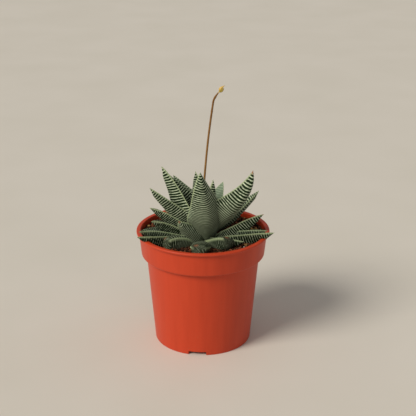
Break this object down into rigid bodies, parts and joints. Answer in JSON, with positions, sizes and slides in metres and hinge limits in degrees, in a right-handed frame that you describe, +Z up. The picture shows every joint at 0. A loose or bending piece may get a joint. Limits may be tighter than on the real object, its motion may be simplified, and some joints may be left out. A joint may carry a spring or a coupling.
{
  "type": "potted haworthia",
  "caption": "Rosette succulent with white-ridged pointed leaves and a thin dried flower stalk, growing in soil in a round tapered nursery pot with a lipped collar.",
  "frame": {"origin": "middle of the pot's underside, on the flat boss that stands on the ground", "axes": "+Z up along the pot's axis, -Y towards the side with the tall broad leaf"},
  "size_m": [0.1073, 0.105, 0.2067],
  "materials": {
    "terracotta_plastic": "injection-moulded polypropylene, soft satin",
    "peat_soil": "crumbly peat and coir",
    "stem_tissue": "matt plant tissue",
    "ridged_leaf": "waxy leaf skin with pale raised ridges",
    "dry_stalk": "dry brown stalk",
    "dry_bud": "papery dried bud"
  },
  "bodies": {
    "root": {"crown_stem": "stem_tissue", "flower_bud": "dry_bud", "flower_stalk": "dry_stalk", "leaf_back_dry": "ridged_leaf", "leaf_back_inner": "ridged_leaf", "leaf_back_low_left": "ridged_leaf", "leaf_back_low_right": "ridged_leaf", "leaf_back_pale": "ridged_leaf", "leaf_back_right": "ridged_leaf", "leaf_back_tall": "ridged_leaf", "leaf_back_upright": "ridged_leaf", "leaf_blunt_front": "ridged_leaf", "leaf_blunt_left": "ridged_leaf", "leaf_blunt_right": "ridged_leaf", "leaf_front_left": "ridged_leaf", "leaf_front_tall": "ridged_leaf", "leaf_heart": "ridged_leaf", "leaf_inner_back": "ridged_leaf", "leaf_inner_left": "ridged_leaf", "leaf_inner_right": "ridged_leaf", "leaf_left_light": "ridged_leaf", "leaf_left_long": "ridged_leaf", "leaf_left_low": "ridged_leaf", "leaf_left_mid": "ridged_leaf", "leaf_left_rim": "ridged_leaf", "leaf_left_rim_rear": "ridged_leaf", "leaf_left_second": "ridged_leaf", "leaf_left_tall": "ridged_leaf", "leaf_right_behind": "ridged_leaf", "leaf_right_front_low": "ridged_leaf", "leaf_right_low": "ridged_leaf", "leaf_right_rim": "ridged_leaf", "leaf_right_rim_rear": "ridged_leaf", "leaf_right_tall": "ridged_leaf", "pot": "terracotta_plastic", "soil": "peat_soil"}
  },
  "joints": []
}
